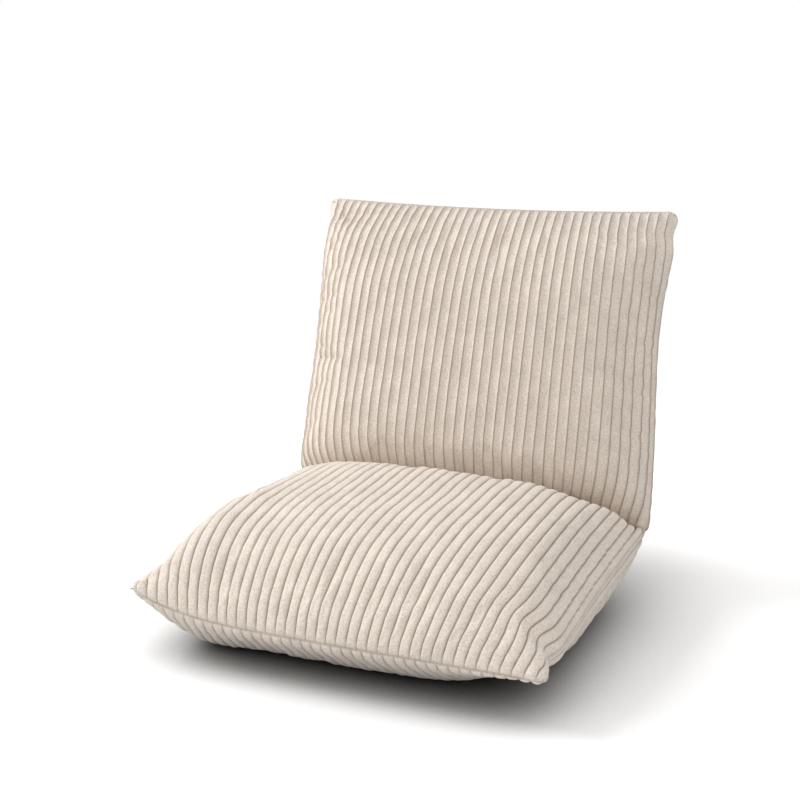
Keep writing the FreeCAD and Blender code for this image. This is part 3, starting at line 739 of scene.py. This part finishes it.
def floor_material():
    """White floor that keeps the shadow, darkened near the chair by a painted contact shadow, and
    fades into the white round it.
    """
    material, nodes, links, shader = new_material("white_floor")
    set_inputs(shader, (("Roughness", 1), ("Specular IOR Level", 0)))
    shown = shown_ray(nodes, links)
    tone = nodes.new("ShaderNodeMapRange")
    set_inputs(tone, (("To Min", FLOOR_TONES[0]), ("To Max", FLOOR_TONES[1])))
    links.new(shown, tone.inputs["Value"])
    # Painted contact shadow: ambient occlusion darkens the floor's colour within CONTACT_REACH of
    # the chair
    near = nodes.new("ShaderNodeAmbientOcclusion")
    near.samples = 8
    set_inputs(near, (("Distance", CONTACT_REACH),))
    painted_shadow_tone = maths(nodes, links, "MULTIPLY", tone.outputs["Result"], near.outputs["AO"])
    links.new(painted_shadow_tone, shader.inputs["Base Color"])
    place = nodes.new("ShaderNodeTexCoord")
    away = nodes.new("ShaderNodeVectorMath")
    away.operation = "LENGTH"
    links.new(place.outputs["Object"], away.inputs[0])
    fade = nodes.new("ShaderNodeMapRange")
    fade.interpolation_type = "SMOOTHSTEP"
    set_inputs(fade, (("From Min", FLOOR_FADE[0]), ("From Max", FLOOR_FADE[1])))
    links.new(away.outputs["Value"], fade.inputs["Value"])
    seen = maths(nodes, links, "MULTIPLY", fade.outputs["Result"], shown)
    white = nodes.new("ShaderNodeEmission")
    mix = nodes.new("ShaderNodeMixShader")
    links.new(seen, mix.inputs["Fac"])
    links.new(shader.outputs["BSDF"], mix.inputs[1])
    links.new(white.outputs["Emission"], mix.inputs[2])
    links.new(mix.outputs["Shader"], nodes["Material Output"].inputs["Surface"])
    return material


class CHAIR_OT_cushion_covers(bpy.types.Operator):
    """Makes the corduroy covers of the seat and back cushions"""

    bl_idname = "chair.cushion_covers"
    bl_label = "Cushion covers"

    def execute(self, context):
        sizes, look = context.scene.chair_sizes, context.scene.chair_corduroy
        material = corduroy_material(look)
        made = []
        for name, length, sag, forms, pulls, place in (
            ("seat_cushion", sizes.seat_length, sizes.seat_sag,
             ((1, SEAT_TOP, SEAT_TOP_SWELLS), (-1, SEAT_BASE, SEAT_BASE_SWELLS)),
             SEAT_PULLS, lambda grid: seat_points(grid, sizes)),
            ("back_cushion", sizes.back_length, sizes.back_sag,
             ((1, BACK_FRONT, BACK_FRONT_SWELLS), (-1, BACK_REAR, ())),
             BACK_PULLS, back_points),
        ):
            grids = [
                place(half_cushion(outline, length, sag, sizes, side, pulls, swells))
                for side, outline, swells in forms
            ]
            grids = wrinkled(name, grids, sizes)
            top, base = (
                corduroy(points, sizes, phase, seed + len(made), outwards)
                for points, phase, seed, outwards in zip(grids, (0, 0.5), COVER_SEEDS, (-1.0, 1.0))
            )
            rim = base[0].copy()
            rim[[0, -1], :] = top[0][[0, -1], :]
            rim[:, [0, -1]] = top[0][:, [0, -1]]
            cushion = cushion_object(name, top, (rim, base[1]))
            cushion.data.materials.append(material)
            made.append(cushion)
        seat, back = made
        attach(seat, "seat")
        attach(back, "back")
        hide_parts("seat_top_panel", "seat_base_panel", "seat_fibre_top", "seat_fibre_base")
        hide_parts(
            "back_front_panel", "back_rear_panel", "back_fibre_front", "back_fibre_rear"
        )
        return {"FINISHED"}


def cover_strip(name, sizes, radius, half_width, turns, seed, sense, power=SECTION_POWER):
    """A strip of the cover bent round the hinge line, from its turn angles below the seat."""
    columns = sizes.wales * 2
    x, swell = even_columns(half_width, radius - sizes.waist_core, columns, power)
    points = np.zeros((columns + 1, len(turns), 3))
    for j, turn in enumerate(turns):
        points[:, j, 0] = x
        points[:, j, 1] = HINGE_LINE.y + (sizes.waist_core + swell) * sin(turn)
        points[:, j, 2] = HINGE_LINE.z - (sizes.waist_core + swell) * cos(turn)
    ribbed, depth = corduroy(points, sizes, 0.0, seed, sense)
    bm = bmesh.new()
    # The strip's layer holds the painted shade of its grooves
    grid_mesh(bm, ribbed, depth, bm.verts.layers.float.new("groove_shade"), sense < 0)
    for face in bm.faces:
        face.smooth = True
    strip = add_object(name, bm)
    strip.data.materials.append(bpy.data.materials["corduroy_pile"])
    solidify = strip.modifiers.new("cloth", "SOLIDIFY")
    solidify.thickness = STRIP_CLOTH
    solidify.offset = -1
    return strip


class CHAIR_OT_waist_strips(bpy.types.Operator):
    """Makes the strips of the cover outside and inside the waist's fold"""

    bl_idname = "chair.waist_strips"
    bl_label = "Waist strips"

    def execute(self, context):
        sizes = context.scene.chair_sizes
        end = pi / 2 - RECLINE
        turns = np.linspace(-STRIP_TUCK, end + STRIP_TUCK, STRIP_ROWS)
        strip = cover_strip(
            "waist_strip", sizes, 0.042, sizes.width / 2 - 0.001, turns, STRIP_SEED, -1.0
        )
        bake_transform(strip)
        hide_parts("waist_panel")

        first, last = FOLD_TURNS
        turns = np.linspace(first, last, FOLD_ROWS)
        fold = cover_strip(
            "waist_fold", sizes, 0.0345, FOLD_HALF_WIDTH, turns, FOLD_SEED, 1.0, FOLD_POWER
        )
        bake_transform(fold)
        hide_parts("fold_panel")
        return {"FINISHED"}


class CHAIR_OT_foam_slabs(bpy.types.Operator):
    """Makes the foam slabs inside the cushions, with softly rounded edges"""

    bl_idname = "chair.foam_slabs"
    bl_label = "Foam slabs"

    def execute(self, context):
        look = context.scene.chair_foam
        material = foam_material(look)
        for node, body in (
            ("seat_foam_upper", "seat"), ("seat_foam_lower", "seat"),
            ("back_foam_front", "back"), ("back_foam_rear", "back"),
        ):
            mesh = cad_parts[node].data.copy()
            slab = bpy.data.objects.new(node.replace("foam", "slab"), mesh)
            context.scene.collection.objects.link(slab)
            bm = bmesh.new()
            bm.from_mesh(mesh)
            bmesh.ops.remove_doubles(bm, verts=bm.verts, dist=FOAM_WELD)
            bm.to_mesh(mesh)
            bm.free()
            remesh = slab.modifiers.new("cells", "REMESH")
            remesh.mode = "VOXEL"
            remesh.voxel_size = look.voxel
            soften = slab.modifiers.new("soften", "SMOOTH")
            soften.factor = 0.5
            soften.iterations = 4
            finished = bpy.data.meshes.new_from_object(
                slab.evaluated_get(context.evaluated_depsgraph_get())
            )
            slab.modifiers.clear()
            slab.data = finished
            slab.data.materials.clear()
            slab.data.materials.append(material)
            for face in slab.data.polygons:
                face.use_smooth = True
            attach(slab, body)
            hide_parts(node)
        return {"FINISHED"}


class CHAIR_OT_steel_finish(bpy.types.Operator):
    """Finishes the frame tubes, the hinges and their springs"""

    bl_idname = "chair.steel_finish"
    bl_label = "Steel finish"

    def execute(self, context):
        look = context.scene.chair_steel
        coat = metal("frame_powder_coat", look.coat, 0.5, 0.0, 900, 60, 0.0003)
        zinc = metal("hinge_zinc", look.zinc, 0.38, 1.0, 1400, 160, 0.0001)
        spring = metal("spring_steel", look.spring, 0.3, 1.0, 2000, 200, 0.00005)
        finished = 0
        for name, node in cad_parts.items():
            if name.endswith("spring"):
                finish = spring
            elif "tube" in name:
                finish = coat
            elif name.startswith(("left_", "right_")):
                finish = zinc
            else:
                continue
            node.data.materials.clear()
            node.data.materials.append(finish)
            finished += 1
        if not finished:
            raise RuntimeError("The frame holds no steel pieces to finish")
        return {"FINISHED"}


class CHAIR_OT_studio(bpy.types.Operator):
    """Makes the pale floor, the soft lamps and the camera"""

    bl_idname = "chair.studio"
    bl_label = "Studio"

    def execute(self, context):
        scene, studio = context.scene, context.scene.chair_studio
        scene.view_settings.view_transform = "Standard"
        bm = bmesh.new()
        bmesh.ops.create_grid(bm, x_segments=4, y_segments=4, size=FLOOR_SIZE)
        floor = add_object("studio_floor", bm)
        floor.data.materials.append(floor_material())

        world = bpy.data.worlds.new("studio")
        scene.world = world
        world.use_nodes = True
        tree = world.node_tree
        ambient = tree.nodes["Background"]
        ambient.inputs["Color"].default_value = (1, 1, 1, 1)
        ambient.inputs["Strength"].default_value = studio.ambient
        seen = tree.nodes.new("ShaderNodeBackground")
        seen.inputs["Color"].default_value = (1, 1, 1, 1)
        seen.inputs["Strength"].default_value = 1.0
        mix = tree.nodes.new("ShaderNodeMixShader")
        tree.links.new(shown_ray(tree.nodes, tree.links), mix.inputs["Fac"])
        tree.links.new(ambient.outputs["Background"], mix.inputs[1])
        tree.links.new(seen.outputs["Background"], mix.inputs[2])
        tree.links.new(mix.outputs["Shader"], tree.nodes["World Output"].inputs["Surface"])

        for name, place, size, power in (
            ("key_lamp", (-1.75, -0.15, 1.5), 1.1, studio.key_power),
            ("front_lamp", (-0.4, -2.4, 1.8), 2.0, studio.front_power),
        ):
            data = bpy.data.lights.new(name, "AREA")
            data.shape = "SQUARE"
            data.size = size
            data.energy = power
            lamp = bpy.data.objects.new(name, data)
            scene.collection.objects.link(lamp)
            lamp.location = place
            aim = LAMP_AIM - Vector(place)
            lamp.rotation_euler = aim.to_track_quat("-Z", "Y").to_euler()

        data = bpy.data.cameras.new("photo_camera")
        camera = bpy.data.objects.new("photo_camera", data)
        scene.collection.objects.link(camera)
        level = cos(CAMERA_ELEVATION)
        back = Vector((
            sin(CAMERA_AZIMUTH) * level, -cos(CAMERA_AZIMUTH) * level, sin(CAMERA_ELEVATION)
        ))
        camera.location = CAMERA_AIM + back * CAMERA_DISTANCE
        camera.rotation_euler = (-back).to_track_quat("-Z", "Y").to_euler()
        data.lens = CAMERA_LENS
        data.sensor_width = CAMERA_SENSOR
        data.shift_x, data.shift_y = CAMERA_SHIFT
        scene.camera = camera
        return {"FINISHED"}


class CHAIR_PT_pieces(bpy.types.Panel):
    """Lists the chair's sizes, looks and pieces"""

    bl_idname = "CHAIR_PT_pieces"
    bl_label = "Floor Chair"
    bl_space_type = "VIEW_3D"
    bl_region_type = "UI"
    bl_category = "Floor Chair"

    def draw(self, context):
        for group, operators in PANEL_ROWS:
            settings = getattr(context.scene, group)
            box = self.layout.box()
            for name in settings.bl_rna.properties.keys():
                if name not in ("rna_type", "name"):
                    box.prop(settings, name)
            for operator in operators:
                box.operator(operator)


PANEL_ROWS = (
    ("chair_sizes", ("chair.cushion_covers", "chair.waist_strips")),
    ("chair_corduroy", ()),
    ("chair_foam", ("chair.foam_slabs",)),
    ("chair_steel", ("chair.steel_finish",)),
    ("chair_studio", ("chair.studio",)),
)

SETTINGS = (
    ("chair_sizes", ChairSizes),
    ("chair_corduroy", CorduroyLook),
    ("chair_foam", FoamLook),
    ("chair_steel", SteelLook),
    ("chair_studio", StudioSizes),
)

CLASSES = (
    *(group for name, group in SETTINGS),
    CHAIR_OT_cushion_covers,
    CHAIR_OT_waist_strips,
    CHAIR_OT_foam_slabs,
    CHAIR_OT_steel_finish,
    CHAIR_OT_studio,
    CHAIR_PT_pieces,
)


def register():
    for cls in CLASSES:
        bpy.utils.register_class(cls)
    for name, group in SETTINGS:
        setattr(bpy.types.Scene, name, bpy.props.PointerProperty(type=group))


def unregister():
    for name, group in SETTINGS:
        delattr(bpy.types.Scene, name)
    for cls in reversed(CLASSES):
        bpy.utils.unregister_class(cls)


def main():
    register()
    bpy.ops.chair.cushion_covers()
    bpy.ops.chair.waist_strips()
    bpy.ops.chair.foam_slabs()
    bpy.ops.chair.steel_finish()
    bpy.ops.chair.studio()


if __name__ == "__main__":
    main()
